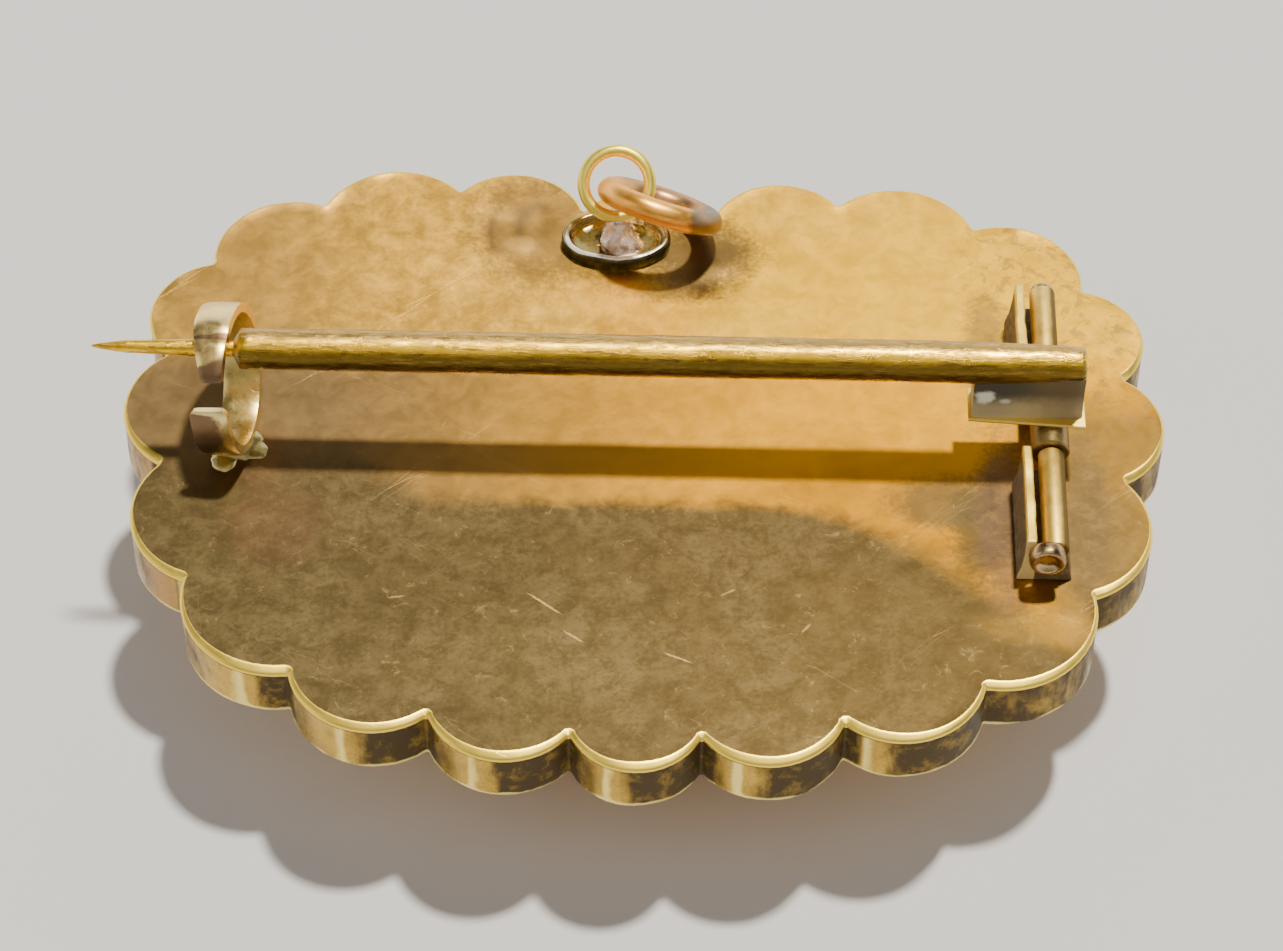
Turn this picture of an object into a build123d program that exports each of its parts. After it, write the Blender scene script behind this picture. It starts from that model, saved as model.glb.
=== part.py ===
# Locket brooch lying on its front, back plate and pin upwards.
# Millimetres. +Z up, +X towards the pin hinge, +Y towards the chain ring.
# Origin: centre of the outline, on the plane that the front bezel rests on.
import os
from math import cos, radians, sin

from build123d import *

# Scalloped back
half_length = 20.0          # centre to the crown of an end lobe
half_width = 14.8           # centre to the crown of a side lobe
lobe_crown = 1.54           # height of a lobe over the line between its two cusps
far_skew = 0.03             # fall of the far edge towards +X, per mm of length
plate_thickness = 0.55
wall_thickness = 0.55
wall_height = 2.4           # plate top to the wall's lower edge
edge_round = 0.24

# Raised front
front_depth = 5.6           # wall's lower edge to the plane it rests on
flange_thickness = 0.5
flange_recess = 0.15        # flange sits this far inside the wall's lower edge
drum_half_length = 15.0
drum_half_width = 10.3
drum_draw_in = 1.3          # the drum narrows by this much towards the bezel
drum_wall = 0.6
bezel_step = 0.5            # the bezel stands this far inside the drum's lower edge
bezel_height = 1.5
bezel_wall = 1.0
bezel_round = 0.3
lip_height = 0.5            # thickness of the lip that holds the glass
lip_overlap = 0.45
piece_gap = 0.06            # play between pieces that seat on each other

# Locket glass and the panel behind it
glass_thickness = 0.7
panel_thickness = 0.6

# Hinge across the plate
hinge_inset = 4.6           # hinge from the crown of the end lobe
hinge_y = 0.65              # middle of the hinge, in line with the pin
hinge_length = 12.9
knuckle_length = 3.45
axis_height = 1.72          # hinge axis over the plate
tube_radius = 0.5           # fixed tubes
knuckle_radius = 0.72       # the pin's own, stouter knuckle
rivet_radius = 0.26
rivet_play = 0.04           # round the rivet, in the knuckle
rivet_seat_play = 0.03      # round the rivet, in the fixed tubes
rivet_head_radius = 0.42    # far head
rivet_head_height = 0.22
rivet_knob_radius = 0.72    # near head, hammered to a knob
rivet_knob_height = 0.6
rivet_knob_round = 0.42
rivet_knob_shift = 0.32     # the knob sits off the axis, towards the taller lip
knuckle_end_gap = 0.08
trough_foot_left = 1.35     # foot from the axis, on the pin's side
trough_foot_right = 0.72
trough_lip_height = 2.3     # one tall lip, on the pin's side
trough_lip_thickness = 0.36
trough_slot = 0.24          # slit between the lip and the tube
trough_slot_floor = 0.9
trough_base = 0.35

# Pin
pin_height = 4.86           # pin axis over the plate
pin_radius = 0.82
pin_shoulder_radius = 0.80  # where the stout part ends, beside the catch
pin_neck_radius = 0.33      # under the hook
pin_shoulder_slope = 0.3    # length of the step down to the neck
pin_shoulder_play = 0.06    # between the hook and the foot of that step
pin_tip_overhang = 0.7      # point past the crown of the end lobe
pin_point_length = 1.3
pin_point_radius = 0.24
pin_tip_radius = 0.05
pin_end_round = 0.2
block_length = 4.15
block_tail = 1.15           # block past the hinge axis
block_depth = 1.4
block_leaf = 0.16           # thickness of the leaf under the block
block_leaf_overhang = 0.12
block_leaf_near = 0.42      # the same on the near side
block_sink = 0.05           # leaf soldered this far into the top of the knuckle

# C-catch
catch_inset = 4.5           # catch from the crown of the end lobe
catch_thickness = 0.42
catch_sink = 0.03           # underside of the curl below the plate's surface
catch_width = 1.42
catch_shift = 0.25          # middle of the curl from the pin, along Y
catch_hook_play = 0.04      # between the pin's neck and the hook
hook_end_angle = 135.0      # measured from +Y, over the top, to the hook's end
lip_end_angle = 157.0       # the same way round, to the lower lip's end
catch_lean = 7.0            # top of the catch leans towards the point
catch_twist = 5.0
solder_half_length = 1.15
solder_half_width = 1.5
solder_height = 0.62
solder_shift = -0.75        # solder foot from the middle of the curl, along Y

# Bail: cup, post, eye and the loose ring in the eye
bail_x = -1.27
bail_inset = 1.6            # cup centre from the cusps of the far middle lobe
cup_half_length = 2.2
cup_half_width = 1.46
cup_height = 0.6
cup_wall = 0.34
cup_floor = 0.22
post_foot_radius = 0.78
post_top_radius = 0.34
eye_radius = 1.33           # to the middle of the wire
eye_wire = 0.25
eye_lean = 40.0             # eye rises outwards at this angle over the plate
eye_foot_height = 1.45
eye_foot_shift = 0.1
ring_radius = 2.1           # to the middle of the wire
ring_wire = 0.5
ring_tilt = 41.75           # the ring leans down to the far side
ring_turn = 26.3            # and is turned a little towards the hinge
ring_lift = 0.05            # lowest point over the plate
ring_inset = 0.282          # ring's wire from the middle of the eye, share of its radius
ring_near = 0.619           # ring centre nearer than the eye's, share of its radius

# Where neighbouring lobes meet, from the far side round the +X end to the near
# side, as shares of half_length and half_width. The -X side mirrors them.
cusp_table = [
    # share of length, share of width
    (0.13, 0.85),
    (0.38, 0.91),
    (0.65, 0.84),
    (0.86, 0.62),
    (0.93, 0.30),
    (0.92, -0.06),
    (0.85, -0.44),
    (0.64, -0.73),
    (0.38, -0.85),
    (0.12, -0.90),
]

# Heights and places worked out from the sizes above
hinge_x = half_length - hinge_inset
catch_x = catch_inset - half_length
plate_top = front_depth + wall_height
plate_under = plate_top - plate_thickness
hinge_far_y = hinge_y + hinge_length / 2
knuckle_far_y = hinge_y + knuckle_length / 2
fixed_tube_length = (hinge_length - knuckle_length) / 2 - knuckle_end_gap
axis_z = plate_top + axis_height
pin_z = plate_top + pin_height


# Meeting points of the lobes, clockwise seen from above
def cusps():
    right = [(x * half_length, y * half_width) for x, y in cusp_table]
    left = [(-x, y) for x, y in reversed(right)]
    points = []
    for x, y in right + left:
        drop = far_skew * x * max(y, 0) / half_width
        points.append(Vector(x, y - drop))
    return points


# Plane across the hinge, facing -Y, with its origin on the plate
def across(y):
    return Plane((hinge_x, y, plate_top), x_dir=(1, 0, 0), z_dir=(0, -1, 0))


# Catch curl, stood so that its hook lies on the pin's neck
catch_y = hinge_y + catch_shift
catch_foot = Vector(catch_x, catch_y, plate_top)
catch_up = Vector(-sin(radians(catch_lean)), 0, cos(radians(catch_lean)))
catch_far = Vector(sin(radians(catch_twist)), cos(radians(catch_twist)), 0)
catch_plane = Plane(catch_foot, x_dir=catch_far, z_dir=catch_far.cross(catch_up))
hook_low_edge = catch_width / 2 * sin(radians(catch_lean))
hook_height = (pin_height + pin_neck_radius + catch_hook_play + hook_low_edge) / cos(radians(catch_lean))
catch_radius = (hook_height + catch_thickness + catch_sink) / 2
catch_inner = catch_radius - catch_thickness
catch_centre_height = hook_height - catch_inner
hook_x = catch_x - hook_height * sin(radians(catch_lean))

# Bail
bail_y = cusps()[0].Y - bail_inset
eye_foot = Vector(bail_x, bail_y + eye_foot_shift, plate_top + eye_foot_height)
eye_out = Vector(0, cos(radians(eye_lean)), sin(radians(eye_lean)))
eye_centre = eye_foot + eye_out * eye_radius
ring_centre_x = eye_centre.X + ring_radius - ring_inset * eye_radius
ring_centre_y = eye_centre.Y - ring_near * eye_radius
ring_height = ring_radius * sin(radians(ring_tilt)) + ring_wire + ring_lift
ring_lean = sin(radians(ring_tilt))
ring_across = Vector(ring_lean * sin(radians(ring_turn)), ring_lean * cos(radians(ring_turn)),
                     cos(radians(ring_tilt)))


# Scalloped outline, one arc for each lobe
with BuildSketch() as outline:
    with BuildLine():
        points = cusps()
        for start, end in zip(points, points[1:] + points[:1]):
            middle = (start + end) / 2
            outward = Vector(-(end - start).Y, (end - start).X).normalized()
            ThreePointArc(start, middle + outward * lobe_crown, end)
    make_face()

# Scalloped case: back plate and wall, with all that is soldered to the back
with BuildPart() as case:
    with BuildSketch(Plane.XY.offset(front_depth)):
        add(outline.sketch)
    extrude(amount=wall_height)
    fillet(case.faces().sort_by(Axis.Z)[-1].edges(), edge_round)
    with BuildSketch(Plane.XY.offset(front_depth)):
        add(outline.sketch)
        offset(amount=-wall_thickness, kind=Kind.ARC, mode=Mode.REPLACE)
    extrude(amount=wall_height - plate_thickness, mode=Mode.SUBTRACT)

    # Hinge troughs with their tubes, on one base
    trough_ends = [hinge_far_y, knuckle_far_y - knuckle_length - knuckle_end_gap]
    for end_y in trough_ends:
        lip_inside = tube_radius + trough_slot
        lip_outside = lip_inside + trough_lip_thickness
        with BuildSketch(across(end_y)):
            with BuildLine():
                Polyline(
                    (-trough_foot_left, 0),
                    (-lip_outside, trough_lip_height),
                    (-lip_inside, trough_lip_height),
                    (-lip_inside, trough_slot_floor),
                    (-tube_radius / 2, trough_slot_floor),
                    (-tube_radius / 2, axis_height),
                    (tube_radius * 0.9, axis_height),
                    (trough_foot_right, 0),
                    close=True,
                )
            make_face()
            with Locations((0, axis_height)):
                Circle(tube_radius)
                Circle(rivet_radius + rivet_seat_play, mode=Mode.SUBTRACT)
        extrude(amount=fixed_tube_length)
    with BuildSketch(across(hinge_far_y)):
        with Locations(((trough_foot_right - trough_foot_left) / 2, trough_base / 2)):
            Rectangle(trough_foot_left + trough_foot_right, trough_base)
    extrude(amount=hinge_length)

    # C-catch on its solder foot
    with BuildSketch(catch_plane):
        sweep_angle = hook_end_angle + 360 - lip_end_angle
        with BuildLine():
            outer = CenterArc((0, catch_centre_height), catch_radius, hook_end_angle, -sweep_angle)
            inner = CenterArc((0, catch_centre_height), catch_inner, hook_end_angle, -sweep_angle)
            Line(outer @ 0, inner @ 0)
            Line(outer @ 1, inner @ 1)
        make_face()
    extrude(amount=catch_width / 2, both=True)
    solder_plane = Plane((catch_x, catch_y + solder_shift, plate_top))
    with BuildSketch(solder_plane):
        Ellipse(solder_half_length, solder_half_width)
    with BuildSketch(solder_plane.offset(solder_height)):
        Ellipse(solder_half_length * 0.72, solder_half_width * 0.72)
    loft()

    # Bail cup, its post and the upright eye
    with BuildSketch(Plane.XY.offset(plate_top)):
        with Locations((bail_x, bail_y)):
            Ellipse(cup_half_length, cup_half_width)
    extrude(amount=cup_height)
    with BuildSketch(Plane.XY.offset(plate_top + cup_floor)):
        with Locations((bail_x, bail_y)):
            Ellipse(cup_half_length - cup_wall, cup_half_width - cup_wall)
    extrude(amount=cup_height, mode=Mode.SUBTRACT)
    with BuildSketch(Plane.XY.offset(plate_top + cup_floor / 2)):
        with Locations((bail_x, bail_y)):
            Circle(post_foot_radius)
    with BuildSketch(Plane(eye_foot)):
        Circle(post_top_radius)
    loft()
    with Locations(Plane(eye_centre, x_dir=(1, 0, 0), z_dir=Vector(1, 0, 0).cross(eye_out))):
        Torus(eye_radius, eye_wire)

# Front frame: flange inside the wall, drum and bezel
drum_top_z = front_depth + flange_recess
with BuildPart() as front_frame:
    with BuildSketch(Plane.XY.offset(drum_top_z)):
        add(outline.sketch)
        offset(amount=-(wall_thickness + piece_gap), kind=Kind.ARC, mode=Mode.REPLACE)
    extrude(amount=flange_thickness)
    with BuildSketch(Plane.XY.offset(bezel_height)):
        Ellipse(drum_half_length - drum_draw_in, drum_half_width - drum_draw_in)
    with BuildSketch(Plane.XY.offset(drum_top_z + flange_thickness)):
        Ellipse(drum_half_length, drum_half_width)
    loft()
    bezel_half_length = drum_half_length - drum_draw_in - bezel_step
    bezel_half_width = drum_half_width - drum_draw_in - bezel_step
    with BuildSketch():
        Ellipse(bezel_half_length, bezel_half_width)
    extrude(amount=bezel_height + drum_wall)
    fillet(front_frame.faces().sort_by(Axis.Z)[0].edges(), bezel_round)

    # Hollow behind the drum
    with BuildSketch(Plane.XY.offset(bezel_height + drum_wall)):
        Ellipse(drum_half_length - drum_draw_in - drum_wall, drum_half_width - drum_draw_in - drum_wall)
    with BuildSketch(Plane.XY.offset(drum_top_z + flange_thickness)):
        Ellipse(drum_half_length - drum_wall, drum_half_width - drum_wall)
    loft(mode=Mode.SUBTRACT)

    # Seat and opening for the glass
    seat_half_length = bezel_half_length - bezel_wall
    seat_half_width = bezel_half_width - bezel_wall
    with BuildSketch(Plane.XY.offset(lip_height)):
        Ellipse(seat_half_length, seat_half_width)
    extrude(amount=front_depth, mode=Mode.SUBTRACT)
    with BuildSketch():
        Ellipse(seat_half_length - lip_overlap, seat_half_width - lip_overlap)
    extrude(amount=lip_height, mode=Mode.SUBTRACT)

# Locket glass on the lip
glass_z = lip_height + piece_gap
with BuildPart() as locket_glass:
    with BuildSketch(Plane.XY.offset(glass_z)):
        Ellipse(seat_half_length - piece_gap, seat_half_width - piece_gap)
    extrude(amount=glass_thickness)

# Panel behind the glass
with BuildPart() as locket_panel:
    with BuildSketch(Plane.XY.offset(glass_z + glass_thickness + piece_gap)):
        Ellipse(seat_half_length - piece_gap, seat_half_width - piece_gap)
    extrude(amount=panel_thickness)

# Pin: tapering stem, head block and hinge knuckle
pin_end_x = hinge_x + block_tail
pin_tip_x = -half_length - pin_tip_overhang
hook_half = catch_width / 2
neck_end_x = hook_x + hook_half + pin_shoulder_play
with BuildPart() as pin_stem:
    with BuildSketch(Plane((0, hinge_y, pin_z), x_dir=(1, 0, 0), z_dir=(0, -1, 0))):
        with BuildLine():
            Polyline(
                (pin_end_x, 0),
                (pin_end_x, pin_radius - pin_end_round),
                (pin_end_x - pin_end_round, pin_radius),
                (pin_end_x - block_length, pin_radius),
                (neck_end_x + pin_shoulder_slope, pin_shoulder_radius),
                (neck_end_x, pin_neck_radius),
                (hook_x - hook_half, pin_neck_radius),
                (pin_tip_x + pin_point_length, pin_point_radius),
                (pin_tip_x, pin_tip_radius),
                (pin_tip_x, 0),
                close=True,
            )
        make_face()
    revolve(axis=Axis((0, hinge_y, pin_z), (1, 0, 0)))
    leaf_height = axis_height + knuckle_radius - block_sink
    block_middle_x = pin_end_x - block_length / 2
    with BuildSketch(Plane.XY.offset(plate_top + leaf_height)):
        with Locations((block_middle_x, hinge_y)):
            Rectangle(block_length, block_depth)
    extrude(amount=pin_height - leaf_height)
    with BuildSketch(Plane.XY.offset(plate_top + leaf_height)):
        with Locations((block_middle_x, hinge_y + (block_leaf_overhang - block_leaf_near) / 2)):
            Rectangle(
                block_length + 2 * block_leaf_overhang,
                block_depth + block_leaf_overhang + block_leaf_near,
            )
    extrude(amount=block_leaf)
    with BuildSketch(across(knuckle_far_y)):
        with Locations((0, axis_height)):
            Circle(knuckle_radius)
    extrude(amount=knuckle_length)
    with BuildSketch(across(knuckle_far_y)):
        with Locations((0, axis_height)):
            Circle(rivet_radius + rivet_play)
    extrude(amount=knuckle_length, mode=Mode.SUBTRACT)

# Rivet through the tubes and the knuckle, with a low far head and a near knob
with BuildPart() as hinge_rivet:
    with BuildSketch(across(hinge_far_y + piece_gap)):
        with Locations((0, axis_height)):
            Circle(rivet_radius)
    extrude(amount=hinge_length + 2 * piece_gap)
    with BuildSketch(across(hinge_far_y + piece_gap + rivet_head_height)):
        with Locations((0, axis_height)):
            Circle(rivet_head_radius)
    extrude(amount=rivet_head_height)
    with BuildSketch(across(hinge_far_y - hinge_length - piece_gap)):
        with Locations((-rivet_knob_shift, axis_height)):
            Circle(rivet_knob_radius)
    extrude(amount=rivet_knob_height)
    fillet(hinge_rivet.faces().sort_by(Axis.Y)[0].edges(), rivet_knob_round)
    fillet(hinge_rivet.faces().sort_by(Axis.Y)[-1].edges(), rivet_head_height / 2)

# Loose ring linked through the eye
ring_plane = Plane((ring_centre_x, ring_centre_y, plate_top + ring_height), z_dir=ring_across)
with BuildPart() as jump_ring:
    with Locations(ring_plane):
        Torus(ring_radius, ring_wire)

os.makedirs("parts", exist_ok=True)
pieces = {
    "case": case,
    "front_frame": front_frame,
    "locket_glass": locket_glass,
    "locket_panel": locket_panel,
    "pin_stem": pin_stem,
    "hinge_rivet": hinge_rivet,
    "jump_ring": jump_ring,
}
for name, piece in pieces.items():
    piece.part.label = name
    export_step(piece.part, "parts/" + name + ".step")
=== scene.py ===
from math import acos, atan2, cos, exp, hypot, pi, radians, sin, sqrt

import bpy
from mathutils import Matrix, Vector, kdtree, noise


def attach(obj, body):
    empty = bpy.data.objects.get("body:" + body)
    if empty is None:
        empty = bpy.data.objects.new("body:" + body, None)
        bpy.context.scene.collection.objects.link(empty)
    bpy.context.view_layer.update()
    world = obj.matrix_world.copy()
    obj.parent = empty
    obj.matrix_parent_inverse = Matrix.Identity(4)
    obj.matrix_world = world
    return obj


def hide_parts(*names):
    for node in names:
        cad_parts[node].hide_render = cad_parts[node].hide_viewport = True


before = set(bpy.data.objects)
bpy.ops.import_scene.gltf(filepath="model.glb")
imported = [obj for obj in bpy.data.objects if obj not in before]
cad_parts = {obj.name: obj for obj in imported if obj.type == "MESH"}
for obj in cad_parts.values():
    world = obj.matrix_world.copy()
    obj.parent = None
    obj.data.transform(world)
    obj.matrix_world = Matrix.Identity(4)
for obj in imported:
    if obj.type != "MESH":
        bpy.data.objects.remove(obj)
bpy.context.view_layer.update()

# All sizes below are in millimetres, in the frame of the CAD model: the brooch
# lies on its front, with its back plate level and its pin upwards.
mm = 0.001
scene = bpy.context.scene


# shader helpers

class Wire:
    # a socket of a node: sums and products on it add Math nodes
    def __init__(self, nodes, socket):
        self.nodes = nodes
        self.socket = socket

    def math(self, operation, first, second=0.0):
        return self.nodes.add("Math", {"operation": operation}, {0: first, 1: second})

    def __add__(self, other): return self.math("ADD", self, other)
    def __radd__(self, other): return self.math("ADD", other, self)
    def __sub__(self, other): return self.math("SUBTRACT", self, other)
    def __rsub__(self, other): return self.math("SUBTRACT", other, self)
    def __mul__(self, other): return self.math("MULTIPLY", self, other)
    def __truediv__(self, other): return self.math("DIVIDE", self, other)
    def __pow__(self, other): return self.math("POWER", self, other)
    def __gt__(self, other): return self.math("GREATER_THAN", self, other)
    def __lt__(self, other): return self.math("LESS_THAN", self, other)


class Nodes:
    # a node tree; values given to its sockets are wires, numbers or colours
    family = "ShaderNode"

    def __init__(self, tree):
        self.tree = tree

    def add(self, kind, settings, sockets, output=0, family=None):
        made = self.tree.nodes.new((family or self.family) + kind)
        for key, value in settings.items():
            setattr(made, key, value)
        for key, value in sockets.items():
            self.feed(made.inputs[key], value)
        return Wire(self, made.outputs[output])

    def feed(self, socket, value):
        if isinstance(value, Wire):
            self.tree.links.new(value.socket, socket)
        elif isinstance(value, tuple) and socket.type == "RGBA":
            socket.default_value = (*value, 1.0)
        else:
            socket.default_value = value

    def split(self, vector):
        parts = self.tree.nodes.new("ShaderNodeSeparateXYZ")
        self.feed(parts.inputs[0], vector)
        return [Wire(self, o) for o in parts.outputs]

    def step(self, value, low, high, start=0.0, end=1.0):
        return self.add("MapRange", {"interpolation_type": "SMOOTHSTEP", "clamp": True},
                        {"Value": value, "From Min": low, "From Max": high, "To Min": start, "To Max": end})


class Finish(Nodes):
    # one material: its Principled shader, and the colour, roughness and normal
    # that are gathered for it
    broadBump, fineBump = 0.02 * mm, 0.004 * mm

    def __init__(self, name, **fixed):
        self.material = bpy.data.materials.new(name)
        self.material.use_nodes = True
        super().__init__(self.material.node_tree)
        self.shader = self.tree.nodes["Principled BSDF"]
        self.out(**fixed)
        self.at = self.place()
        self.axes = self.split(self.at)

    def out(self, **values):
        for key, value in values.items():
            self.feed(self.shader.inputs[key.replace("_", " ")], value)
        return self.material

    def done(self, **more):
        return self.out(Base_Color=self.colour, Roughness=self.rough, Normal=self.normal, **more)

    def place(self, stretch=(1.0, 1.0, 1.0)):
        # object coordinates in millimetres
        coords = self.add("TexCoord", {}, {}, "Object")
        return self.add("Mapping", {}, {"Vector": coords, "Scale": tuple(s / mm for s in stretch)})

    def cloud(self, place, scale, detail=4.0, roughness=0.6, twist=0.0):
        return self.add("TexNoise", {}, {"Vector": place, "Scale": scale, "Detail": detail,
                                         "Roughness": roughness, "Distortion": twist}, "Fac")

    def rag(self, scale):
        # a cloud about zero, to fray an edge
        return self.cloud(self.at, scale) - 0.5

    def mix(self, share, first, second):
        return self.add("Mix", {"data_type": "RGBA"}, {0: share, 6: first, 7: second}, 2)

    def tint(self, share, shade):
        # lays a colour over what is there
        self.colour = self.mix(share, self.colour, shade)

    def attribute(self, name):
        return self.add("Attribute", {"attribute_name": name}, {}, "Fac")

    def bump(self, height, distance, strength=1.0, under=None):
        sockets = {"Height": height, "Distance": distance, "Strength": strength}
        if under is not None:
            sockets["Normal"] = under
        return self.add("Bump", {}, sockets, "Normal")

    def hairlines(self, angle, scale, width, seed, kept=0.60):
        # short hairlines in one direction: thin slices of a stretched cell pattern
        turned = self.add("Mapping", {}, {"Vector": self.at, "Rotation": (0.0, 0.0, angle)})
        drawn = self.add("Mapping", {}, {"Vector": turned, "Location": (seed, seed * 1.7, seed * 0.3),
                                         "Scale": (scale * 0.10, scale, scale)})
        cells = self.add("TexVoronoi", {"feature": "DISTANCE_TO_EDGE"},
                         {"Vector": drawn, "Randomness": 1.0}, "Distance")
        line = 1.0 - self.step(cells, 0.0, width)
        return line * self.step(self.cloud(drawn, 0.8, 2.0, 0.55), kept, kept + 0.06)

    def specks(self, scale, size, kept):
        # small round marks in some of the cells of a pattern
        cells = {"Vector": self.at, "Scale": scale, "Randomness": 1.0}
        near = self.add("TexVoronoi", {}, cells, "Distance")
        pick = self.split(self.add("TexVoronoi", {}, cells, "Color"))[0]
        return self.step(near, size, size * 0.5) * (pick > kept)

    def spot(self, middle, reach, soft, rag, axes=None):
        # 1 inside an ellipse, 0 outside it; on the plan, unless other axes are given
        x, y = (axes or self.axes)[:2]
        dx = (x - middle[0]) * (1.0 / reach[0])
        dy = (y - middle[1]) * (1.0 / reach[1])
        far = (dx * dx + dy * dy) ** 0.5 + rag
        return 1.0 - self.step(far, 1.0 - soft, 1.0 + soft)


# mesh helpers

# the body that rides with each replaced node, and its colour slot
roles = {
    "case": ("brooch", "back_gold"),
    "hinge_rivet": ("brooch", "rivet_gold"),
    "jump_ring": ("brooch", "ring_gold"),
    "pin_stem": ("pin", "pin_gold"),
}


def settle(piece, node):
    body, slot = roles[node]
    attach(piece, body)
    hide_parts(node)


def addObject(name, data):
    made = bpy.data.objects.new(name, data)
    scene.collection.objects.link(made)
    return made


def smooth(mesh, angle):
    mesh.shade_smooth()
    mesh.set_sharp_from_angle(angle=radians(angle))


def addMasks(mesh, masks):
    # one value for each point; those of the middles of a loft's caps come last
    for key, values in masks.items():
        mesh.attributes.new(key, "FLOAT", "POINT").data.foreach_set("value", values)


def evaluated(piece):
    # the mesh as its modifiers leave it
    graph = bpy.context.evaluated_depsgraph_get()
    return bpy.data.meshes.new_from_object(piece.evaluated_get(graph))


def makePiece(name, node, shape, finish, angle=40.0, masks=None, bevel=0.0):
    points, faces = shape
    mesh = bpy.data.meshes.new(name)
    mesh.from_pydata([(p[0] * mm, p[1] * mm, p[2] * mm) for p in points], [], faces)
    mesh.validate()
    mesh.update()
    piece = addObject(name, mesh)
    mesh.materials.append(finishes[finish])
    smooth(mesh, angle)
    addMasks(mesh, masks or {})
    if bevel:
        soften(piece, bevel)
    settle(piece, node)


def soften(piece, width):
    bevel = piece.modifiers.new("soften", "BEVEL")
    bevel.width = width * mm
    bevel.segments = 3
    bevel.limit_method = "ANGLE"
    bevel.angle_limit = radians(40)
    done = evaluated(piece)
    piece.modifiers.clear()
    old = piece.data
    piece.data = done
    done.name = piece.name
    bpy.data.meshes.remove(old)


def loft(rings, caps=True):
    # quads between rings of equal length, with fan caps; rings run anticlockwise
    # seen from the end that the loft grows towards
    points = [Vector(p) for ring in rings for p in ring]
    size = len(rings[0])
    faces = []
    for k in range(len(rings) - 1):
        for j in range(size):
            a, b = k * size + j, k * size + (j + 1) % size
            faces.append((a, b, b + size, a + size))
    for ring, flip in ((0, True), (len(rings) - 1, False)) if caps else ():
        points.append(sum((Vector(p) for p in rings[ring]), Vector()) / size)
        hub = len(points) - 1
        for j in range(size):
            a, b = ring * size + j, ring * size + (j + 1) % size
            faces.append((b, a, hub) if flip else (a, b, hub))
    return points, faces


def turns(steps):
    return [2 * pi * k / steps for k in range(steps)]


def lathe(profile, start, steps, axis=(0, 1, 0), side=(1, 0, 0)):
    # profile is (radius, distance along the axis), from start to end
    axis, side = Vector(axis), Vector(side)
    other = axis.cross(side)
    return [[Vector(start) + axis * along + side * radius * cos(a) + other * radius * sin(a)
             for a in turns(steps)] for radius, along in profile]


def wobble(x, y, z, scale, seed):
    return noise.noise(Vector((x * scale + seed, y * scale - seed, z * scale + 2 * seed)))


def bell(value, middle, width):
    return exp(-((value - middle) / width) ** 2)


def clamp(value, low=0.0, high=1.0):
    return min(high, max(low, value))


# sizes shared by several pieces

plateTop = 8.0
pinHeight = 4.86
hingeAt = {
    "x": 15.4,
    "y": 0.65,
    "height": 1.72,
    "length": 12.9,
    "knuckle": 3.45,
    "knuckleRadius": 0.72,
    "gap": 0.08,
    "leafSink": 0.05,
}
hingeX, hingeY, hingeZ = hingeAt["x"], hingeAt["y"], plateTop + hingeAt["height"]
halfHinge, halfKnuckle = hingeAt["length"] / 2, hingeAt["knuckle"] / 2
leafFoot = hingeZ + hingeAt["knuckleRadius"] - hingeAt["leafSink"]

outline = {
    "halfLength": 20.0,
    "halfWidth": 14.8,
    "lobeCrown": 1.54,
    "farSkew": 0.03,
    "notchRadius": 0.09,
    "pointsPerLobe": 16,
    "pointsPerNotch": 4,
    # where lobes meet, as shares of the half length and half width, on the +X side
    "meetings": [(0.13, 0.85), (0.38, 0.91), (0.65, 0.84), (0.86, 0.62), (0.93, 0.30),
                 (0.92, -0.06), (0.85, -0.44), (0.64, -0.73), (0.38, -0.85), (0.12, -0.90)],
}


def lobeOutline(sizes):
    # points clockwise seen from above: (place, outward normal, share along the lobe)
    right = [(x * sizes["halfLength"], y * sizes["halfWidth"]) for x, y in sizes["meetings"]]
    left = [(-x, y) for x, y in reversed(right)]
    cusps = [Vector((x, y - sizes["farSkew"] * x * max(y, 0) / sizes["halfWidth"]))
             for x, y in right + left]
    crown, notch = sizes["lobeCrown"], sizes["notchRadius"]
    lobes = []
    for k, start in enumerate(cusps):
        end = cusps[(k + 1) % len(cusps)]
        chord = end - start
        outward = Vector((-chord.y, chord.x)).normalized()
        radius = (chord.length ** 2 / 4 + crown ** 2) / (2 * crown)
        lobes.append(((start + end) / 2 + outward * (crown - radius), radius))
    fillets = []
    for k in range(len(lobes)):
        # small circle that touches this lobe and the one before it, outside both
        (c1, r1), (c2, r2) = lobes[k - 1], lobes[k]
        d = (c2 - c1).length
        along = (c2 - c1) / d
        a = ((r1 + notch) ** 2 - (r2 + notch) ** 2 + d * d) / (2 * d)
        h = sqrt(max((r1 + notch) ** 2 - a * a, 0))
        across = Vector((-along.y, along.x))
        both = [c1 + along * a + across * h, c1 + along * a - across * h]
        fillets.append(max(both, key=lambda f: f.length))
    points = []

    def addArc(centre, radius, first, last, way, shares):
        # way is 1 for a concave notch and -1 for a lobe
        turn = acos(clamp(first.dot(last), -1, 1))
        for share in shares:
            spin = atan2(first.y, first.x) + way * turn * share
            n = Vector((cos(spin), sin(spin)))
            points.append((centre + n * radius, n * -way, share if way < 0 else -1.0))

    for k, (centre, radius) in enumerate(lobes):
        first, last = fillets[k], fillets[(k + 1) % len(lobes)]
        after = lobes[(k + 1) % len(lobes)][0]
        count = sizes["pointsPerLobe"]
        addArc(centre, radius, (first - centre).normalized(), (last - centre).normalized(), -1,
               [j / count for j in range(count + 1)])
        count = sizes["pointsPerNotch"]
        addArc(last, notch, (centre - last).normalized(), (after - last).normalized(), 1,
               [j / count for j in range(1, count)])
    return points


rim = lobeOutline(outline)
print("outline", len(rim), "points")


# finishes

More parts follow.
